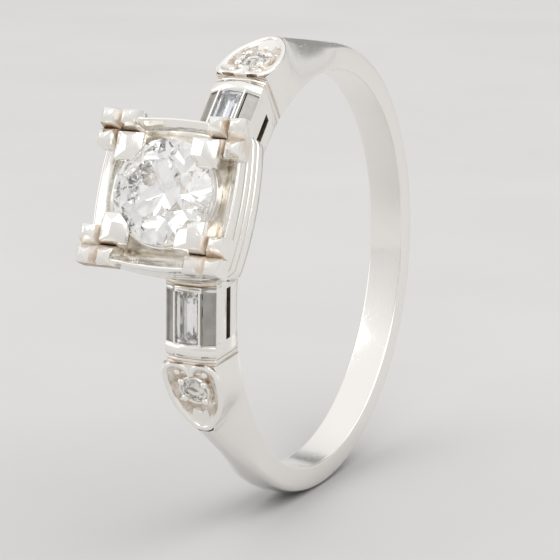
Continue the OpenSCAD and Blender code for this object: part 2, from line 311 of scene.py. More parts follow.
def new_material(name):
    """Material with a Principled shader, its node tree, the shader and object coordinates."""
    material = bpy.data.materials.new(name)
    material.use_nodes = True
    tree = material.node_tree
    tree.nodes.clear()
    shader = add(tree, "ShaderNodeBsdfPrincipled")
    add(tree, "ShaderNodeOutputMaterial", {"Surface": shader.outputs[0]})
    coords = add(tree, "ShaderNodeTexCoord").outputs["Object"]
    return material, tree, shader, coords


def colour_between(tree, shader, factor, first, second):
    """Gives the shader a base colour that a factor blends from one tint to another."""
    mix = add(tree, "ShaderNodeMix", {
        "Factor": factor, "A": (*first, 1), "B": (*second, 1),
    }, data_type="RGBA")
    tree.links.new(mix.outputs["Result"], shader.inputs["Base Color"])


def math_node(tree, operation, a, b=0.0):
    """Sum, product or the like of two values or sockets."""
    return add(tree, "ShaderNodeMath", {0: a, 1: b}, operation=operation).outputs[0]


def noise(tree, coords, scale, detail=2.0, roughness=0.5):
    """Noise with a number of bumps to the metre."""
    return add(tree, "ShaderNodeTexNoise", {
        "Vector": coords, "Scale": scale, "Detail": detail, "Roughness": roughness,
    }).outputs["Fac"]


def ramp(tree, value, low, high, to_low=0.0, to_high=1.0):
    """Maps the range from low to high onto another range, and holds it beyond."""
    return add(tree, "ShaderNodeMapRange", {
        "Value": value, "From Min": low, "From Max": high, "To Min": to_low, "To Max": to_high,
    }).outputs["Result"]


def white_gold(name, tint, rough, wave, pits, recess_shade_and_grime):
    """Polished white gold with a wavy surface, fine scratches, small pits, and painted shade and
    dirt that turn its recesses brown.

    wave and pits are depths in millimetres; the last argument is how far the recesses turn brown,
    as painted shade and dirt.
    """
    material, tree, shader, coords = new_material(name)
    # painted shade and dirt: faces that ambient occlusion finds in recesses blend towards dark
    # brown
    occlusion = add(tree, "ShaderNodeAmbientOcclusion", {"Distance": 0.3 * MM}, samples=8)
    recess_shade_and_dirt = ramp(tree, occlusion.outputs["AO"], 0.72, 0.2, 0.0, recess_shade_and_grime)
    patches = ramp(tree, noise(tree, coords, 2600, 3), 0.3, 0.7, 0.5, 1.0)
    recess_shade_and_dirt = math_node(tree, "MULTIPLY", recess_shade_and_dirt, patches)
    colour_between(tree, shader, recess_shade_and_dirt, tint, (0.48, 0.36, 0.25))
    shader.inputs["Metallic"].default_value = 1.0
    smear = ramp(tree, noise(tree, coords, 1400, 4, 0.6), 0.3, 0.7, rough * 0.7, rough * 1.5)
    smear = math_node(tree, "ADD", smear, math_node(tree, "MULTIPLY", recess_shade_and_dirt, 0.3))
    tree.links.new(smear, shader.inputs["Roughness"])

    waves = noise(tree, coords, 750, 1.0)
    bump = add(tree, "ShaderNodeBump", {"Height": waves, "Strength": 1.0, "Distance": wave * MM})
    stretched = add(tree, "ShaderNodeMapping", {
        "Vector": coords, "Scale": (1.0, 0.08, 0.08), "Rotation": (0.3, 0.2, 0.5),
    }).outputs[0]
    scratches = ramp(tree, noise(tree, stretched, 30000, 2), 0.6, 0.75)
    bump = add(tree, "ShaderNodeBump", {
        "Height": scratches, "Strength": 1.0, "Distance": -0.0012 * MM, "Normal": bump.outputs[0],
    })
    spots = add(tree, "ShaderNodeTexVoronoi", {"Vector": coords, "Scale": 4200.0})
    near = ramp(tree, spots.outputs["Distance"], 0.26, 0.08)
    chosen = ramp(tree, noise(tree, coords, 1500, 2), 0.5, 0.62)
    bump = add(tree, "ShaderNodeBump", {
        "Height": math_node(tree, "MULTIPLY", near, chosen), "Strength": 1.0,
        "Distance": -pits * MM, "Normal": bump.outputs[0],
    })
    tree.links.new(bump.outputs[0], shader.inputs["Normal"])
    return material


def painted_shade_gold(name, dark, light, rough, depth=0.006):
    """Rougher metal whose tint is painted shade, with dirt in places, mottled between a dark and a
    light tint, with grain of a depth.
    """
    material, tree, shader, coords = new_material(name)
    mottle = ramp(tree, noise(tree, coords, 2200, 5, 0.65), 0.35, 0.65)
    colour_between(tree, shader, mottle, dark, light)
    shader.inputs["Metallic"].default_value = 1.0
    shader.inputs["Roughness"].default_value = rough
    grain = noise(tree, coords, 9000, 4, 0.7)
    bump = add(tree, "ShaderNodeBump", {"Height": grain, "Strength": 1.0, "Distance": depth * MM})
    tree.links.new(bump.outputs[0], shader.inputs["Normal"])
    return material


def diamond(name, tint, haze):
    """Polished diamond with faint polish marks, up to a haze, and slightly greyer patches."""
    material, tree, shader, coords = new_material(name)
    patches = ramp(tree, noise(tree, coords, 2300, 4, 0.65), 0.6, 0.75)
    colour_between(tree, shader, patches, tint, [channel * 0.97 for channel in tint])
    polish = ramp(tree, noise(tree, coords, 9000, 3), 0.4, 0.8, haze * 0.5, haze)
    tree.links.new(polish, shader.inputs["Roughness"])
    shader.inputs["Transmission Weight"].default_value = 1.0
    shader.inputs["IOR"].default_value = 2.42
    return material


# ---- Shank and shoulders ----

def band_point(angle, x, r):
    """Point of the band at an angle, a place across it and a radius."""
    return (x, r * math.sin(angle), r * math.cos(angle))


def band_section(corners, radii):
    """Closed section of the band from the corners (x, r) of its +X half, with rounded corners."""
    left = [(-x, r) for x, r in reversed(corners)]
    return rounded(list(corners) + left, list(radii) + list(reversed(radii)))


COMFORT = 0.1  # rounding of the band's inner edges
SHANK_DOME = 0.12  # how much lower than the crown the shank's outer edges are
SHANK_RIDGE = FOOT_HALF * 0.45
RIDGE_HALF = 0.22  # half width of the flat ridge behind the heart
BEVEL_W = 0.16
BEVEL_DROP = 0.2
FIRST_DROP = 0.11  # the bevels' drop just behind the heart's tip
FLANK_SWELL = 0.1
FLANK_BULGE = 0.1
LIP_RISE = 0.34  # height of the flank's lip round the heart plate
LIP_W = 0.07
TIP_ANGLE = HEART_ANGLE + math.atan(HEART_TIP / HEART_UNDER_R)
HEART_TIP_HALF = 0.26
LOBE_R = HEART_W * 0.27
LOBE_X = HEART_W / 2 - LOBE_R
LOBE_Y = HEART_TIP - HEART_L + LOBE_R
SIDE_Y = LOBE_Y + 0.5  # where the straight sides turn into the arcs towards the tip
SIDE_RISE = HEART_W / 2 - HEART_TIP_HALF
SIDE_R = (SIDE_RISE ** 2 + (HEART_TIP - SIDE_Y) ** 2) / (2 * SIDE_RISE)


def shank():
    """Plain band with flat sides and a softly rounded outside, from shoulder to shoulder."""
    section = band_section(
        [(FOOT_HALF, HOLE_R), (FOOT_HALF, CROWN_R - SHANK_DOME), (SHANK_RIDGE, CROWN_R)],
        [COMFORT, 0.22, 0.22])
    steps = 180
    turn = 2 * math.pi - 2 * SHANK_ANGLE
    rings = []
    for k in range(steps + 1):
        angle = SHANK_ANGLE + turn * k / steps
        rings.append([band_point(angle, p[0], p[1]) for p in section])
    bm = bmesh.new()
    loft(bm, rings)
    return outward(bm)


def heart_half(y):
    """Half width of the heart at a place along it, narrowing to the collar's beyond its lobes."""
    if y > SIDE_Y:
        return HEART_W / 2 - SIDE_R + math.sqrt(max(SIDE_R ** 2 - (y - SIDE_Y) ** 2, 0))
    if y > LOBE_Y:
        return HEART_W / 2
    beyond = (LOBE_Y - y) / LOBE_R
    return max(BOX_HALF_W, HEART_W / 2 - (HEART_W / 2 - BOX_HALF_W) * beyond)


def shoulder():
    """Flank that rises round the heart plate and the narrow ridge behind it, up to the shank."""
    start = BOX_ANGLE + math.radians(4)
    rings = []
    heart_steps = 70
    for k in range(heart_steps + 1):
        rings.append(flank_ring(start + (TIP_ANGLE - start) * k / heart_steps, start))
    ridge_steps = 50
    for k in range(ridge_steps + 1):
        angle = TIP_ANGLE + (SHANK_ANGLE - TIP_ANGLE) * (0.004 + 0.996 * k / ridge_steps)
        rings.append(ridge_ring(angle, start))
    bm = bmesh.new()
    loft(bm, rings)
    trim_at_collar(bm)
    return outward(bm)


def trim_at_collar(bm):
    """Cuts a mesh off flat where it meets the collar."""
    along = Vector(turned((0, 1, 0), BOX_ANGLE))
    bmesh.ops.bisect_plane(bm, geom=bm.verts[:] + bm.edges[:] + bm.faces[:],
                           plane_co=along * COLLAR_END, plane_no=along, clear_inner=True)
    bmesh.ops.holes_fill(bm, edges=[e for e in bm.edges if e.is_boundary])


def swell(angle, start):
    """Rises from 0 at the collar to 1 halfway along the shoulder and back to 0 at the shank."""
    along = (angle - start) / (SHANK_ANGLE - start)
    return math.sin(math.pi * min(max(along, 0), 1))


def flank_corners(angle, start, half, top_r):
    """Foot, middle and upper edge of a flank, so that it runs on smoothly past the heart."""
    foot = FOOT_HALF + FLANK_SWELL * swell(angle, start)
    middle = (foot + half) / 2 + FLANK_BULGE * swell(angle, start)
    return [(foot, HOLE_R), (middle, (HOLE_R + top_r) / 2), (half, top_r)]


def edge_half(angle):
    """Half width of the flanks' upper edge: the heart's, then the ridge's, blended at the tip."""
    blend = 0.45
    samples = 11
    y = (HEART_UNDER_R + LIP_RISE) * math.tan(angle - HEART_ANGLE)
    total = 0.0
    for k in range(samples):
        near_y = y + blend * (2 * k / (samples - 1) - 1)
        total += max(heart_half(min(near_y, HEART_TIP)) - 0.01, RIDGE_HALF + BEVEL_W)
    return total / samples


def flank_ring(angle, start):
    """Section under the heart: flanks up to a lip round the plate, and the plate's pocket."""
    tilt = HEART_ANGLE - angle
    under = HEART_UNDER_R / math.cos(tilt)
    lip = (HEART_UNDER_R + LIP_RISE) / math.cos(tilt)
    y = -(HEART_UNDER_R + LIP_RISE) * math.tan(tilt)
    half = edge_half(angle)
    floor_r = under if y > LOBE_Y else lip - 0.04
    section = band_section(
        flank_corners(angle, start, half, lip) + [(half - LIP_W, lip), (half - LIP_W, floor_r)],
        [COMFORT, 0.8, 0.05, 0.02, 0.01])
    return [band_point(angle, p[0], p[1]) for p in section]


def ridge_ring(angle, start):
    """Section behind the heart: flat-topped ridge with steep bevels, fading into the shank."""
    t = (angle - TIP_ANGLE) / (SHANK_ANGLE - TIP_ANGLE)
    top = CROWN_R / math.cos(SHANK_ANGLE - angle)
    edge = edge_half(angle)
    edge += (FOOT_HALF - edge) * t * t
    drop = FIRST_DROP + (BEVEL_DROP - FIRST_DROP) * min(t * 5, 1)
    edge_r = top - drop + (BEVEL_DROP - SHANK_DOME) * t
    ridge = RIDGE_HALF + (SHANK_RIDGE - RIDGE_HALF) * t * t
    section = band_section(
        flank_corners(angle, start, edge, edge_r) + [(ridge, top), (ridge * 0.6, top)],
        [COMFORT, 0.8, 0.05 + 0.17 * t, 0.04 + 0.18 * t, 0.01])
    return [band_point(angle, p[0], p[1]) for p in section]


# ---- Boxes and collars ----

BORE_SPARE = 0.3  # how far pieces reach into the finger hole before it is cut out
WINDOW_R = HOLE_R + 0.98
WINDOW_H = 0.45
WINDOW_L = 2.05
SEAT_DROP = 0.7
SEAT_LEDGE = 0.16
WALL_W = 0.09
WALL_H = 0.5
LAND_DROP = 0.1
BAR_DEPTH = 0.5
COLLAR_R = BOX_EDGE_R + 0.2
GAP_W = 0.07  # gap between the two bars at the head end of a box
BOX_WINDOW_SHADE_AND_DIRT, BOX_LAND_SHADE, BOX_GAP_SHADE_AND_DIRT, BOX_SEAT = 1, 2, 3, 4  # places of a box's extra materials: painted shade and dirt in the windows, painted shade on the lands, painted shade and dirt in the gap and on the head-end bar, and the seat
LIGHT_HOLE_R = 0.575


def box_outline(top_r, inset=0.0):
    """Section of box and collar in x and z: narrow at the finger, wide at the outer edges."""
    channel_half = BAGUETTE_W / 2 + 0.08
    half = BOX_HALF_W - inset
    foot = FOOT_HALF - inset
    return [
        (-foot, HOLE_R - BORE_SPARE), (foot, HOLE_R - BORE_SPARE), (half, BOX_EDGE_R - inset),
        (channel_half - inset, top_r - inset), (-channel_half + inset, top_r - inset),
        (-half, BOX_EDGE_R - inset),
    ]


def bore_cutter():
    """The finger hole as a closed cylinder along X."""
    bm = bmesh.new()
    bmesh.ops.create_cone(bm, cap_ends=True, segments=360, radius1=HOLE_R, radius2=HOLE_R, depth=6,
                          matrix=Matrix.Rotation(math.pi / 2, 4, "Y"))
    return bm


def brick(low, high, angle=0.0):
    """Block between two corners, in axes on the band at an angle."""
    bm = bmesh.new()
    bmesh.ops.create_cube(bm, size=1)
    size = [b - a for a, b in zip(low, high)]
    middle = [(b + a) / 2 for a, b in zip(low, high)]
    for vertex in bm.verts:
        vertex.co = turned([m + v * s for m, v, s in zip(middle, vertex.co, size)], angle)
    return bm


def arch_bar(bm, y0, y1, top_r, rise):
    """Rounded bar that arches across a box, from one outer edge to the other."""
    steps = 32
    end = [(0.0, 0.11), (0.08, 0.06), (0.24, 0.02)]
    drops = end + [(0.5, 0.0)] + [(1 - t, drop) for t, drop in reversed(end)]
    rings = []
    for t, drop in drops:
        y = y0 + (y1 - y0) * t
        top, bottom = [], []
        for k in range(steps + 1):
            s = -1 + 2 * k / steps
            x = BOX_HALF_W * s * (1 - drop * 0.2)
            z = top_r - rise * s * s
            top.append(turned((x, y, z - drop), BOX_ANGLE))
            bottom.append(turned((x, y, z - BAR_DEPTH), BOX_ANGLE))
        rings.append(top + bottom[::-1])
    loft(bm, rings)


def channel_wall(bm, side):
    """Thin wall with a rounded top along one side of the baguette."""
    half = WALL_W / 2
    middle = side * (BAGUETTE_W / 2 + half)
    low, high = CHANNEL_R - WALL_H, CHANNEL_R
    end = BAGUETTE_L / 2 + 0.02
    section = rounded(
        [(middle - half, low), (middle + half, low), (middle + half, high), (middle - half, high)],
        [0, 0, half * 0.9, half * 0.9], 3)
    loft(bm, [[turned((p[0], y, p[1]), BOX_ANGLE) for p in section] for y in (-end, end)])


def land_cutter(side):
    """Wedge that sinks the sloping land beside the channel."""
    channel_edge = BAGUETTE_W / 2 + WALL_W
    outer_edge = BOX_HALF_W - 0.05
    slope = (BODY_R - BOX_EDGE_R) / (BOX_HALF_W - channel_edge)
    bm = bmesh.new()
    points = []
    for y in (-BAGUETTE_L / 2, BAGUETTE_L / 2):
        for x in (channel_edge, outer_edge):
            z = BOX_EDGE_R + slope * (BOX_HALF_W - x) - LAND_DROP
            points += [(side * x, y, z), (side * x, y, z + 1)]
    hull(bm, [turned(point, BOX_ANGLE) for point in points])
    return outward(bm)


def baguette_box():
    """Channel box: body with sunken sloping lands, slot windows, channel walls and end bars."""
    angle = BOX_ANGLE
    half_w, half_l = BAGUETTE_W / 2, BAGUETTE_L / 2
    shaft_w, shaft_l = half_w - SEAT_LEDGE, half_l - SEAT_LEDGE
    wide = 3
    window_low, window_high = WINDOW_R - WINDOW_H / 2, WINDOW_R + WINDOW_H / 2
    gap_y = -(half_l + BOX_HALF) / 2
    gap_low, gap_high = gap_y - GAP_W / 2, gap_y + GAP_W / 2
    bm = bmesh.new()
    outline = box_outline(BODY_R)
    loft(bm, [[turned((p[0], y, p[1]), angle) for p in outline] for y in (-BOX_HALF, BOX_HALF)])
    outward(bm)
    bm = cut(bm, [
        bore_cutter(),
        brick((-half_w, -half_l, CHANNEL_R - SEAT_DROP), (half_w, half_l, CHANNEL_R + 1), angle),
        brick((-shaft_w, -shaft_l, HOLE_R - 1), (shaft_w, shaft_l, CHANNEL_R), angle),
        brick((-wide, -WINDOW_L / 2, window_low), (wide, WINDOW_L / 2, window_high), angle),
        land_cutter(1),
        land_cutter(-1),
        brick((-wide, gap_low, BOX_EDGE_R + 0.02), (wide, gap_high, CHANNEL_R), angle),
    ])
    merge_flats(bm, 0.2)
    bevelled(bm, 0.02)
    bm.normal_update()

    def inside_window(middle, _normal):
        x, y, z = middle
        side_x = FOOT_HALF + (BOX_HALF_W - FOOT_HALF) * (z - HOLE_R) / (BOX_EDGE_R - HOLE_R)
        within = abs(x) < side_x - 0.03 and abs(y) < BOX_HALF - 0.1
        return within and HOLE_R + 0.02 < z < window_high + 0.15

    def in_seat(middle, _normal):
        x, y, z = middle
        return abs(x) < half_w + 0.01 and abs(y) < half_l + 0.01 and z > window_high + 0.03

    def on_land(middle, normal):
        x, y, z = middle
        beside = half_w + 0.05 < abs(x) < BOX_HALF_W - 0.03 and abs(y) < half_l
        return beside and normal[2] > 0.5 and z > window_high

    def in_gap(middle, _normal):
        return abs(middle[1] - gap_y) < 0.045 and middle[2] > BOX_EDGE_R

    # painted shade and dirt: faces inside the windows turn nearly black brown
    paint(bm, BOX_WINDOW_SHADE_AND_DIRT, angle, inside_window)
    paint(bm, BOX_SEAT, angle, in_seat)
    # painted shade and dirt: a beige tint in the gap between the head-end bars
    paint(bm, BOX_GAP_SHADE_AND_DIRT, angle, in_gap)
    # painted shade: the sloping lands beside the channel are tinted grey
    paint(bm, BOX_LAND_SHADE, angle, on_land)
    for side in (-1, 1):
        channel_wall(bm, side)
    top = BOX_EDGE_R + 0.38
    arch_bar(bm, half_l, BOX_HALF, top + 0.02, 0.30)
    arch_bar(bm, gap_high, -half_l, top - 0.02, 0.34)
    # painted shade and dirt: the outer bar at the head end gets the same beige tint as the gap
    faces_so_far = len(bm.faces)
    arch_bar(bm, -BOX_HALF, gap_low, top + 0.05, 0.36)
    bm.faces.ensure_lookup_table()
    for face in bm.faces[faces_so_far:]:
        face.material_index = BOX_GAP_SHADE_AND_DIRT
    return outward(bm)


def collar():
    """Thin plate between box and shoulder: a sunken band, then two rounded ribs."""
    angle = BOX_ANGLE
    length = COLLAR_END - BOX_HALF
    profile = [(0.0, 0.03), (0.04, 0.045), (0.24, 0.045), (0.3, 0.01), (0.36, 0.0), (0.56, 0.0),
               (0.62, 0.03), (0.68, 0.03), (0.74, 0.0), (0.94, 0.0), (1.0, 0.01)]
    rings = []
    for t, inset in profile:
        corners = box_outline(COLLAR_R, inset)
        section = rounded(corners, [0.02, 0.02, 0.06, 0.3, 0.3, 0.06])
        rings.append([turned((p[0], BOX_HALF + length * t, p[1]), angle) for p in section])
    bm = bmesh.new()
    loft(bm, rings)
    outward(bm)
    return cut(bm, [bore_cutter()])


# ---- Heart plates ----

def heart_outline(inset):
    """Points round the heart from its blunt tip, in x and y, moved inwards by inset."""
    tip_steps = 6
    arc_steps = 22
    tip_length = 0.16
    half = []
    arc_r = SIDE_R - inset
    centre_x = HEART_W / 2 - SIDE_R
    tip_y = HEART_TIP - inset
    shoulder_y = tip_y - tip_length
    shoulder_x = centre_x + math.sqrt(arc_r ** 2 - (shoulder_y - SIDE_Y) ** 2)
    tip_x = max(centre_x + math.sqrt(max(arc_r ** 2 - (tip_y - SIDE_Y) ** 2, 0)), 0.02)
    for k in range(tip_steps):
        t = k / tip_steps
        half.append((2 * t * (1 - t) * tip_x + t * t * shoulder_x,
                     tip_y * (1 - t * t) + t * t * shoulder_y))
    start = math.asin((shoulder_y - SIDE_Y) / arc_r)
    for k in range(arc_steps + 1):
        a = start * (1 - k / arc_steps)
        half.append((centre_x + arc_r * math.cos(a), SIDE_Y + arc_r * math.sin(a)))
    lobe = LOBE_R - inset
    cleft = math.acos(-LOBE_X / lobe) if lobe > LOBE_X else math.pi
    for k in range(arc_steps + 1):
        a = -cleft * k / arc_steps
        half.append((LOBE_X + lobe * math.cos(a), LOBE_Y + lobe * math.sin(a)))
    left = [(-x, y) for x, y in reversed(half[1:-1])]
    return half + left


def bead(bm, x, y, z, r, angle, squash=0.8):
    """Rounded grain pushed up beside a stone or along a rim."""
    result = bmesh.ops.create_uvsphere(bm, u_segments=14, v_segments=8, radius=r)
    for vertex in result["verts"]:
        vertex.co = turned((x + vertex.co.x, y + vertex.co.y, z + vertex.co.z * squash), angle)


def cleft_fill(bm, angle):
    """Metal between the two lobes and the collar, a little lower than the rim."""
    steps = 12
    outline = []
    for k in range(steps + 1):
        x = LOBE_X * (2 * k / steps - 1)
        dip = math.sqrt(LOBE_R ** 2 - (abs(x) - LOBE_X) ** 2)
        outline.append((x, LOBE_Y - dip + 0.04))
    end = LOBE_Y - LOBE_R - 0.3
    outline += [(LOBE_X, end), (-LOBE_X, end)]
    heights = (HEART_UNDER_R, HEART_R - 0.06)
    loft(bm, [[turned((x, y, z), angle) for x, y in outline] for z in heights])


def heart_plate():
    """Heart with a rounded rim, bright-cut field, stone collet, grains and a little milgrain."""
    angle = HEART_ANGLE
    top = HEART_R
    field_end = HEART_TIP - 0.85
    bead_r = 0.165
    milgrain = 9
    levels = [(0.1, HEART_UNDER_R), (0.09, HEART_UNDER_R + LIP_RISE - 0.02), (0.03, top - 0.15),
              (0.0, top - 0.11), (0.0, top - 0.08), (0.015, top - 0.04), (0.05, top - 0.012),
              (0.1, top), (0.15, top - 0.004), (0.19, top - 0.02), (0.22, top - 0.05),
              (0.235, top - 0.1)]
    rings = [[(x, y, z) for x, y in heart_outline(inset)] for inset, z in levels]
    inner = heart_outline(levels[-1][0])
    collet_r = HEART_STONE_R + 0.13
    circle = []
    for x, y in inner:
        direction = Vector((x, y - HEART_STONE_Y)).normalized()
        circle.append((direction.x, direction.y))
    field = [(0.06, top - 0.13), (0.2, top - 0.13), (0.6, top - 0.2), (0.86, top - 0.24),
             (1.0, top - 0.22)]
    for t, z in field:
        rings.append([
            (x + (c[0] * collet_r - x) * t, y + (HEART_STONE_Y + c[1] * collet_r - y) * t, z)
            for (x, y), c in zip(inner, circle)])
    for r, z in [(collet_r - 0.02, top - 0.12), (collet_r - 0.05, top - 0.08),
                 (HEART_STONE_R + 0.02, top - 0.09), (HEART_STONE_R - 0.01, top - 0.13),
                 (HEART_STONE_R - 0.03, top - 0.22), (HEART_STONE_R - 0.2, top - 0.45)]:
        rings.append([(c[0] * r, HEART_STONE_Y + c[1] * r, z) for c in circle])
    bm = bmesh.new()
    loft(bm, [[turned(p, angle) for p in ring] for ring in rings])
    cleft_fill(bm, angle)
    trim_at_collar(bm)
    outward(bm)

    def on_field(middle, normal):
        spread = math.hypot(middle[0], middle[1] - HEART_STONE_Y)
        sunk = middle[2] < top - 0.115 and normal[2] > 0.3
        return sunk and spread > HEART_STONE_R + 0.05 and middle[1] < field_end

    # painted shade: the sunk field round the stone gets a darker, browner tint
    paint(bm, 1, angle, on_field)
    for turn in (40, 130, 215, 320):
        a = math.radians(turn)
        r = HEART_STONE_R + 0.05
        bead(bm, r * math.cos(a), HEART_STONE_Y + r * math.sin(a), top - 0.08, bead_r, angle)
    for x, y, r in [(0.0, -0.72, 0.1), (0.6, -2.7, 0.15), (-0.6, -2.7, 0.15), (0.72, -1.3, 0.07),
                    (-0.72, -1.3, 0.07)]:
        bead(bm, x, y, top - 0.17, r, angle)
    rim = LOBE_R - 0.02
    for side in (-1, 1):
        for k in range(milgrain):
            a = -math.radians(70) * (1 - k / (milgrain - 1))
            x, y = LOBE_X + rim * math.cos(a), LOBE_Y + rim * math.sin(a)
            bead(bm, side * x, y, top - 0.09, 0.05, angle, 1.0)
    return bm


# ---- Head ----

BOW_R = 15.0  # radius of the head's bowed sides
CORNER_REACH = 1.26  # clipped corners of the head, from its axis, against its half width
HEAD_SAMPLES = 192
MOAT_DROP = 0.55
FLOOR_HOLE_R = 0.62


def circle_points(r, samples):
    """Points round a circle, in x and y."""
    turn = 2 * math.pi / samples
    return [Vector((r * math.cos(k * turn), r * math.sin(k * turn))) for k in range(samples)]


def cushion(half):
    """Square with bowed sides and clipped corners, in x and y.

    Each side is an arc whose centre lies BOW_R inside it.
    """
    outline = []
    for k in range(HEAD_SAMPLES):
        a = 2 * math.pi * k / HEAD_SAMPLES
        direction = Vector((math.cos(a), math.sin(a)))
        r = half * CORNER_REACH
        for side in range(4):
            s = side * math.pi / 2
            along = direction.dot(Vector((math.cos(s), math.sin(s)))) * (half - BOW_R)
            r = min(r, along + math.sqrt(along ** 2 - (half - BOW_R) ** 2 + BOW_R ** 2))
        outline.append(direction * r)
    return outline


def head_frame():
    """Tall bowed wall with stepped bands, a broad bevel inside and a moat round the basket.

    Its section is a list of insets from the widest outline and drops from the top.
    """
    height = FRAME_TOP - FRAME_BASE
    groove = 0.09
    section = [(0.03, height), (0.0, height - 0.03)]
    for drop in (1.5, 1.07, 0.62):
        section += [(0.0, drop + 0.1), (0.02, drop + 0.07), (groove, drop + 0.05),
                    (groove, drop - 0.04), (0.02, drop - 0.06), (0.0, drop - 0.09)]
    section += [(0.0, 0.12), (0.015, 0.05), (0.04, 0.015), (0.08, 0.0), (0.13, 0.01), (0.17, 0.04),
                (0.22, 0.07), (0.32, 0.12), (0.43, 0.2), (0.53, 0.3), (0.61, 0.4), (0.68, 0.47),
                (0.76, 0.52), (0.84, MOAT_DROP)]
    rings = []
    for inset, drop in section:
        rings.append([(p.x, p.y, FRAME_TOP - drop) for p in cushion(FRAME_HALF - inset)])
    hole = circle_points(BASKET_R + 0.005, HEAD_SAMPLES)
    for z in (FRAME_TOP - MOAT_DROP - 0.03, FRAME_BASE):
        rings.append([(p.x, p.y, z) for p in hole])
    bm = bmesh.new()
    loft(bm, rings, loop=True)
    outward(bm)
    # painted shade: faces of the moat, deep inside the wall, get a darker beige tint
    for face in bm.faces:
        middle = face.calc_center_median()
        within = math.hypot(middle.x, middle.y) < FRAME_HALF - 0.3
        if within and middle.z < FRAME_TOP - 0.42:
            face.material_index = 1
    return bm


def stone_basket():
    """Cup under the centre stone, with a light hole in its floor and a thin rounded lip."""
    seat_z = GIRDLE_Z - 0.42
    r = BASKET_R
    profile = rounded([
        (FLOOR_HOLE_R, FRAME_BASE), (r, FRAME_BASE), (r, FRAME_TOP - 0.7), (r + 0.02, seat_z),
        (r - 0.08, seat_z), (1.34, GIRDLE_Z - 0.95), (FLOOR_HOLE_R, GIRDLE_Z - 1.72)],
        [0.05, 0.02, 0.2, 0.04, 0.04, 0.1, 0.05])
    bm = bmesh.new()
    loft(bm, [[(p.x, p.y, z) for p in circle_points(radius, 128)] for radius, z in profile],
         loop=True)
    return outward(bm)


def head_gallery():
    """Plate with rounded edges that closes the underside of the head round its light hole."""
    low, high = local_box("head_gallery")
    half = high.x
    hole = 1.15
    edge = 0.06
    rim = 0.08
    outline = cushion(half)
    levels = [(edge, low.z), (0.0, low.z + edge), (0.0, high.z - edge), (edge, high.z)]
    rings = [[(p.x * (1 - inset / half), p.y * (1 - inset / half), z) for p in outline]
             for inset, z in levels]
    for r, z in [(hole + rim, high.z), (hole, high.z - rim), (hole, low.z + rim),
                 (hole + rim, low.z)]:
        rings.append([(*(p.normalized() * r), z) for p in outline])
    bm = bmesh.new()
    loft(bm, rings, loop=True)
    return outward(bm)


def bridge():
    """Block under the head that narrows to a neck, between the two boxes."""
    high = local_box("bridge")[1]
    box_end = Vector(turned((0, -BOX_HALF, HOLE_R - BORE_SPARE), BOX_ANGLE))
    box_top = Vector(turned((0, -BOX_HALF, BOX_EDGE_R), BOX_ANGLE))
    neck = 1.5
    outline = [(-box_end.y, box_end.z), (box_end.y, box_end.z), (box_top.y, box_top.z),
               (neck, high.z), (-neck, high.z), (-box_top.y, box_top.z)]
    bm = bmesh.new()
    loft(bm, [[(x, y, z) for y, z in outline] for x in (-FOOT_HALF, FOOT_HALF)])
    outward(bm)
    light = bmesh.new()
    bmesh.ops.create_cone(light, cap_ends=True, segments=64, radius1=LIGHT_HOLE_R,
                          radius2=LIGHT_HOLE_R, depth=20, matrix=Matrix.Translation((0, 0, 10)))
    bm = cut(bm, [bore_cutter(), light])
    merge_flats(bm, 0.2)
    return bevelled(bm, 0.05)


CORNERS = {
    "upper_far": (-1, 1),
    "upper_near": (1, 1),
    "lower_far": (-1, -1),
    "lower_near": (1, -1),
}
POST_W = 0.67
GROOVE_W = 0.2
POST_TIP = 0.42
CLAW_AT = (BASKET_R + 0.02) / math.sqrt(2) + POST_W / 2  # x and y of a claw's middle
POST_AT = CLAW_AT + POST_W + GROOVE_W


def corner_shell(points, signs, jitter=0.0, chance=None):
    """Convex shell of points drawn for the +X +Y corner, moved to the corner with these signs."""
    sx, sy = signs
    bm = bmesh.new()
    moved = []
    for x, y, z in points:
        if chance:
            x, y, z = (value + chance.uniform(-jitter, jitter) for value in (x, y, z))
        z = min(z, POST_TOP - POST_CLEARANCE)
        moved.append((sx * min(x, POST_REACH), sy * min(y, POST_REACH), z))
    hull(bm, moved)
    return outward(bm)


def worn(bm, radius):
    """Merges the flats of a hull that nearly agree, then rounds its edges."""
    merge_flats(bm, 2)
    bevelled(bm, radius, 3, 18)
    return outward(bm)


def crown_cutter():
    """Cone just outside the crown of the centre stone, down to below its girdle."""
    r = STONE_R + 0.01
    girdle = GIRDLE_Z + 0.04
    apex = girdle + r * math.tan(math.radians(34))
    bm = bmesh.new()
    loft(bm, [[(p.x, p.y, z) for p in circle_points(radius, 96)]
              for radius, z in [(r, GIRDLE_Z - 0.6), (r, girdle), (0.02, apex)]])
    return outward(bm)


def claw(corner):
    """Inner corner post, a fat block whose ridged head leans over the edge of the stone."""
    signs = CORNERS[corner]
    chance = random.Random(f"claw {corner}")
    near = CLAW_AT - POST_W / 2
    far = CLAW_AT + POST_W / 2
    reach = 1.0
    chamfer = 0.4
    ridge = 1.6
    ridge_z = POST_TOP - 0.02
    column = []
    for z, spread in ((FRAME_TOP - MOAT_DROP, 0.5), (FRAME_TOP, 0.5), (GIRDLE_Z + 0.1, 0.0)):
        foot = far + spread * GROOVE_W
        column += [(x, y, z) for x in (near, foot) for y in (near, foot)]
    head = [(x, y, GIRDLE_Z - 0.15) for x in (near, far) for y in (near, far)]
    for z, inset in ((GIRDLE_Z + 0.1, 0.0), (GIRDLE_Z + 0.3, 0.04)):
        low, high = reach + inset, far - inset
        head += [(low, low + chamfer, z), (low + chamfer, low, z)]
        head += [(high, low, z), (high, high, z), (low, high, z)]
    head += [(ridge, reach + chamfer, ridge_z), (ridge + 0.04, far - 0.24, ridge_z)]
    bm = joined(corner_shell(column, signs), corner_shell(head, signs, 0.02, chance))
    bm = cut(bm, [crown_cutter()])
    return worn(bm, 0.08)


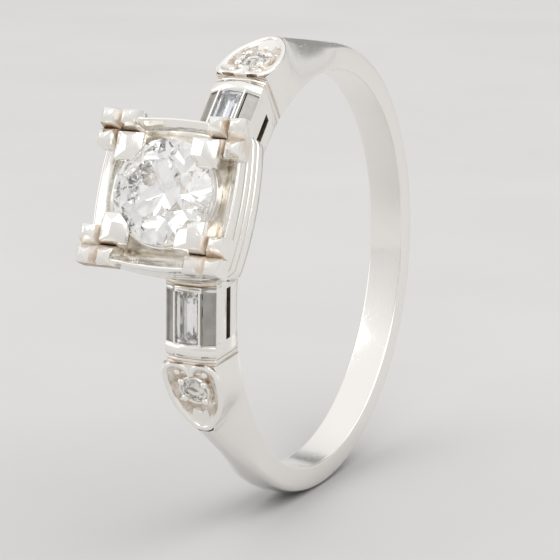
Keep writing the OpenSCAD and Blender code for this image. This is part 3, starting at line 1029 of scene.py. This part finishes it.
def fishtail(corner):
    """Three pyramid-topped posts round the outside of a corner, parted by crossed V grooves."""
    signs = CORNERS[corner]
    chance = random.Random(f"fishtail {corner}")
    half = POST_W / 2
    base_z = FRAME_TOP - 0.3
    overlap = 0.01
    shells = []
    for x, y in [(POST_AT, POST_AT), (POST_AT, CLAW_AT), (CLAW_AT, POST_AT)]:
        points = []
        for z, foot, grow in ((base_z, 1.0, 1.0), (FRAME_TOP + 0.18, 1.0, 1.0),
                              (POST_TOP - POST_TIP - 0.02, 0.0, 1.0), (POST_TOP - 0.24, 0.0, 0.84),
                              (POST_TOP - 0.02, 0.0, 0.3)):
            spread = foot * (GROOVE_W / 2 + overlap)
            xs, ys = [
                (middle - half * grow - (spread if middle == POST_AT else 0),
                 middle + half * grow + (spread if middle == CLAW_AT else 0))
                for middle in (x, y)]
            points += [(i, j, z) for i in xs for j in ys]
        shells.append(corner_shell(points, signs, 0.022, chance))
    bm = worn(joined(*shells), 0.05)
    gap = POST_AT - half - GROOVE_W / 2
    # painted shade: the V groove walls get a beige tint and the bottom of each V a dark brown line
    for face in bm.faces:
        x, y, z = face.calc_center_median()
        beside = min(abs(abs(x) - gap), abs(abs(y) - gap))
        if z < FRAME_TOP + 0.42 and beside < GROOVE_W:
            face.material_index = 2 if z < FRAME_TOP + 0.27 and beside < 0.06 else 1
    return bm


# ---- Stones ----

def facet(bm, normal, distance):
    """Cuts a convex mesh with the plane at a distance along a normal and closes the cut."""
    normal = Vector(normal).normalized()
    bmesh.ops.bisect_plane(bm, geom=bm.verts[:] + bm.edges[:] + bm.faces[:], dist=1e-5,
                           plane_co=normal * distance, plane_no=normal, clear_outer=True)
    bmesh.ops.holes_fill(bm, edges=[e for e in bm.edges if e.is_boundary])


def facet_row(bm, count, offset, slope, radius, height, up):
    """Ring of facets of one slope, each touching a circle of a radius at a height."""
    for k in range(count):
        a = 2 * math.pi * (k + offset) / count
        s = math.radians(slope)
        normal = Vector((math.sin(s) * math.cos(a), math.sin(s) * math.sin(a), math.cos(s) * up))
        touch = Vector((radius * math.cos(a), radius * math.sin(a), height))
        facet(bm, normal, normal.dot(touch))


def brilliant(r):
    """Round brilliant of radius r with its girdle at the origin."""
    girdle = 0.015 * r
    table_z = girdle + 0.32 * r
    main_slope = 41.0
    culet = 0.02
    bm = bmesh.new()
    bmesh.ops.create_cone(bm, cap_ends=True, segments=96, radius1=r, radius2=r, depth=3 * r)
    facet(bm, (0, 0, 1), table_z)
    facet_row(bm, 8, 0.0, 34.5, r, girdle, 1)
    facet_row(bm, 16, 0.5, 40.0, r * 0.992, girdle, 1)
    facet_row(bm, 8, 0.5, 22.0, r * 0.56, table_z, 1)
    facet_row(bm, 8, 0.0, main_slope, r, -girdle, -1)
    facet_row(bm, 16, 0.5, 42.4, r * 0.992, -girdle, -1)
    facet(bm, (0, 0, -1), r * math.tan(math.radians(main_slope)) + girdle - culet)
    return outward(bm)


def step_cut(width, length, depth):
    """Baguette with a two-step crown round a large table, and a keel-shaped pavilion."""
    crown, girdle = 0.16, 0.05
    pavilion_top = -crown - girdle
    steps = [(50.0, 0.0, -crown, 1), (28.0, 0.09, -crown + 0.1, 1),
             (52.0, 0.0, pavilion_top, -1), (41.0, 0.16, pavilion_top - 0.2, -1)]
    bm = brick((-width / 2, -length / 2, -depth), (width / 2, length / 2, 0))
    for slope, inset, height, up in steps:
        s = math.radians(slope)
        for sx, sy in [(1, 0), (-1, 0), (0, 1), (0, -1)]:
            half = width / 2 if sx else length / 2
            normal = Vector((sx * math.sin(s), sy * math.sin(s), math.cos(s) * up))
            touch = Vector((sx * (half - inset), sy * (half - inset), height))
            facet(bm, normal, normal.dot(touch))
    return outward(bm)


def placed(bm, origin, angle=0.0, spin=0.0):
    """Moves a stone to a point of the axes on the band at an angle, spun about its own axis."""
    for vertex in bm.verts:
        x, y = vertex.co.x, vertex.co.y
        point = (origin[0] + x * math.cos(spin) - y * math.sin(spin),
                 origin[1] + x * math.sin(spin) + y * math.cos(spin), origin[2] + vertex.co.z)
        vertex.co = turned(point, angle)
    return bm


# ---- Putting the ring together ----

FACETED = 1  # smoothing angle in degrees that keeps every facet's edge sharp

# tint, roughness, wave, pits, painted shade and dirt in recesses
bright = white_gold("white_gold_bright", (0.97, 0.95, 0.915), 0.12, 0.010, 0.004, 0.6)
band_gold = white_gold("white_gold_band", (0.95, 0.93, 0.90), 0.14, 0.010, 0.008, 0.4)
worked = white_gold("white_gold_worked", (0.95, 0.915, 0.87), 0.16, 0.006, 0.006, 0.8)
inner_gold = white_gold("white_gold_inner", (0.96, 0.94, 0.91), 0.16, 0.004, 0.0, 0.3)
seat_gold = white_gold("white_gold_seat", (0.98, 0.97, 0.95), 0.06, 0.002, 0.0, 0.0)
# painted shade, with dirt in places: dark and light tint, roughness, depth of the grain where it
# isn't the usual one
# painted shade: the heart's sunk field
heart_field_painted_shade = painted_shade_gold("white_gold_heart_field", (0.50, 0.41, 0.31), (0.94, 0.90, 0.86), 0.24)
# painted shade and dirt: inside the box's windows
window_shade_and_dirt = painted_shade_gold("white_gold_dark_recess", (0.10, 0.07, 0.045), (0.26, 0.20, 0.14), 0.55)
# painted shade: the box's sloping lands
land_painted_shade = painted_shade_gold("white_gold_grey_satin", (0.38, 0.37, 0.35), (0.48, 0.47, 0.45), 0.42)
# painted shade and dirt: the gap and the outer bar at a box's head end
gap_shade_and_dirt = painted_shade_gold("white_gold_gap_shade_and_dirt", (0.72, 0.62, 0.50), (0.96, 0.91, 0.84), 0.2)
# painted shade: the moat inside the head
moat_painted_shade = painted_shade_gold("white_gold_moat_painted_shade", (0.70, 0.65, 0.57), (0.93, 0.90, 0.85), 0.22, 0.001)
# painted shade: the walls of the fishtails' V grooves
groove_painted_shade = painted_shade_gold("white_gold_groove_painted_shade", (0.84, 0.76, 0.68), (0.98, 0.95, 0.91), 0.36)
# painted shade: the dark line at the bottom of each V groove
crease_painted_shade = painted_shade_gold("white_gold_groove_line", (0.42, 0.31, 0.22), (0.72, 0.61, 0.50), 0.4)
# tint, haze
clear_stone = diamond("diamond_clear", (1.0, 1.0, 0.995), 0.04)
soft_stone = diamond("diamond_soft", (1.0, 1.0, 1.0), 0.1)
# painted shade: the upper baguette's diamond gets a darker blue-grey tint than the lower one's
blue_grey_painted_shade_stone = diamond("diamond_blue_grey_painted_shade", (0.90, 0.94, 1.0), 0.18)

piece("shank", shank(), [band_gold], smooth_angle=50)
for side, turn, look in [("upper", 0.0, blue_grey_painted_shade_stone), ("lower", math.pi, soft_stone)]:
    piece(f"{side}_shoulder", spun(shoulder(), turn), [band_gold], smooth_angle=40)
    piece(f"{side}_collar", spun(collar(), turn), [worked])
    piece(f"{side}_baguette_box", spun(baguette_box(), turn),
          [band_gold, window_shade_and_dirt, land_painted_shade, gap_shade_and_dirt, seat_gold])
    piece(f"{side}_heart_plate", spun(heart_plate(), turn), [bright, heart_field_painted_shade])
    stone = placed(step_cut(BAGUETTE_W, BAGUETTE_L, 0.7), (0, 0, CHANNEL_R - 0.02), BOX_ANGLE)
    piece(f"{side}_baguette", spun(stone, turn), [look], FACETED)
    stone = placed(brilliant(HEART_STONE_R), (0, HEART_STONE_Y, HEART_R - 0.12), HEART_ANGLE, 0.2)
    piece(f"{side}_heart_stone", spun(stone, turn), [clear_stone], FACETED)

piece("bridge", bridge(), [inner_gold])
piece("head_gallery", head_gallery(), [inner_gold])
piece("head_frame", head_frame(), [bright, moat_painted_shade], smooth_angle=50)
piece("stone_basket", stone_basket(), [seat_gold], smooth_angle=50)
for corner in CORNERS:
    piece(f"claw_{corner}", claw(corner), [bright], smooth_angle=40)
    piece(f"fishtail_{corner}", fishtail(corner), [bright, groove_painted_shade, crease_painted_shade],
          smooth_angle=40)
centre = placed(brilliant(STONE_R), (0, 0, GIRDLE_Z), spin=0.15)
piece("centre_stone", centre, [clear_stone], FACETED)


# ---- Stage, light and camera ----

AZIMUTH = math.radians(25.5)
ELEVATION = math.radians(13.48)
DISTANCE = 112.0  # from the camera to the plane through the finger hole's centre
LENS = 169.4
AIM_RIGHT = -1.184  # how far the camera is moved aside and up, in its own axes
AIM_UP = -0.555
FLOOR_HALF = 1.2


def floor():
    """Plain pale floor, just under the ring."""
    bm = bmesh.new()
    bmesh.ops.create_grid(bm, x_segments=8, y_segments=8, size=FLOOR_HALF)
    obj = as_object(bm, "Floor")
    obj.location.z = cad_bounds[0].z
    material, tree, shader, coords = new_material("pale_floor")
    mottle = ramp(tree, noise(tree, coords, 60, 3), 0.3, 0.7)
    colour_between(tree, shader, mottle, (0.675, 0.67, 0.665), (0.705, 0.70, 0.695))
    shader.inputs["Roughness"].default_value = 0.75
    obj.data.materials.append(material)


def area_light(name, place, size, power, tint=(1, 1, 1)):
    """Soft rectangular lamp at a place in metres, turned towards the ring."""
    lamp = bpy.data.lights.new(name, "AREA")
    lamp.shape = "RECTANGLE"
    lamp.size, lamp.size_y = size
    lamp.energy = power
    lamp.color = tint
    obj = bpy.data.objects.new(name, lamp)
    obj.location = place
    obj.rotation_mode = "QUATERNION"
    obj.rotation_quaternion = (-Vector(place)).to_track_quat("-Z", "Y")
    bpy.context.scene.collection.objects.link(obj)


def studio():
    """Soft white surroundings, brighter above, with a grey card behind, and three soft lamps."""
    world = bpy.data.worlds.new("Studio")
    bpy.context.scene.world = world
    world.use_nodes = True
    tree = world.node_tree
    tree.nodes.clear()
    direction = add(tree, "ShaderNodeTexCoord").outputs["Generated"]
    parts = add(tree, "ShaderNodeSeparateXYZ", {0: direction})
    height = ramp(tree, parts.outputs["Z"], -0.1, 0.8, 0.66, 0.95)
    behind = ramp(tree, parts.outputs["Y"], 0.78, 0.88, 0.0, 0.6)
    card_top = ramp(tree, parts.outputs["Z"], 0.5, 0.42)
    card_foot = ramp(tree, parts.outputs["Z"], 0.12, 0.2)
    card = math_node(tree, "MULTIPLY", behind, math_node(tree, "MULTIPLY", card_top, card_foot))
    facing_front = add(tree, "ShaderNodeVectorMath", {0: direction, 1: (0.30, -0.85, 0.43)},
                       operation="DOT_PRODUCT").outputs["Value"]
    dim_front = ramp(tree, facing_front, 0.76, 0.96, 0.0, 0.12)
    shade = math_node(tree, "SUBTRACT", 1.0, math_node(tree, "MAXIMUM", card, dim_front))
    glow = math_node(tree, "MULTIPLY", height, shade)
    back = add(tree, "ShaderNodeBackground", {"Color": (1.0, 0.995, 0.985, 1), "Strength": glow})
    add(tree, "ShaderNodeOutputWorld", {"Surface": back.outputs[0]})
    area_light("Key", (0.25, -0.18, 0.42), (0.50, 0.50), 0.60, (1.0, 0.985, 0.96))
    area_light("Fill", (-0.40, -0.20, 0.22), (0.35, 0.45), 0.24, (0.97, 0.985, 1.0))
    area_light("Back", (0.30, 0.20, 0.42), (0.35, 0.30), 0.15)


def camera():
    """Camera at the photograph's viewing angle."""
    level = math.cos(ELEVATION)
    back = Vector((math.sin(AZIMUTH) * level, -math.cos(AZIMUTH) * level, math.sin(ELEVATION)))
    right = Vector((math.cos(AZIMUTH), math.sin(AZIMUTH), 0))
    up = back.cross(right)
    data = bpy.data.cameras.new("Camera")
    data.lens = LENS
    data.sensor_width = 36.0
    data.clip_start, data.clip_end = 0.005, 10.0
    obj = bpy.data.objects.new("Camera", data)
    obj.location = (back * DISTANCE + right * AIM_RIGHT + up * AIM_UP) * MM
    obj.rotation_mode = "QUATERNION"
    obj.rotation_quaternion = Matrix((right, up, back)).transposed().to_quaternion()
    bpy.context.scene.collection.objects.link(obj)
    bpy.context.scene.camera = obj


floor()
studio()
camera()
scene = bpy.context.scene
scene.view_settings.view_transform = "Standard"
scene.cycles.max_bounces = 32
scene.cycles.glossy_bounces = 16
scene.cycles.transmission_bounces = 28
scene.cycles.caustics_reflective = False
scene.cycles.caustics_refractive = False
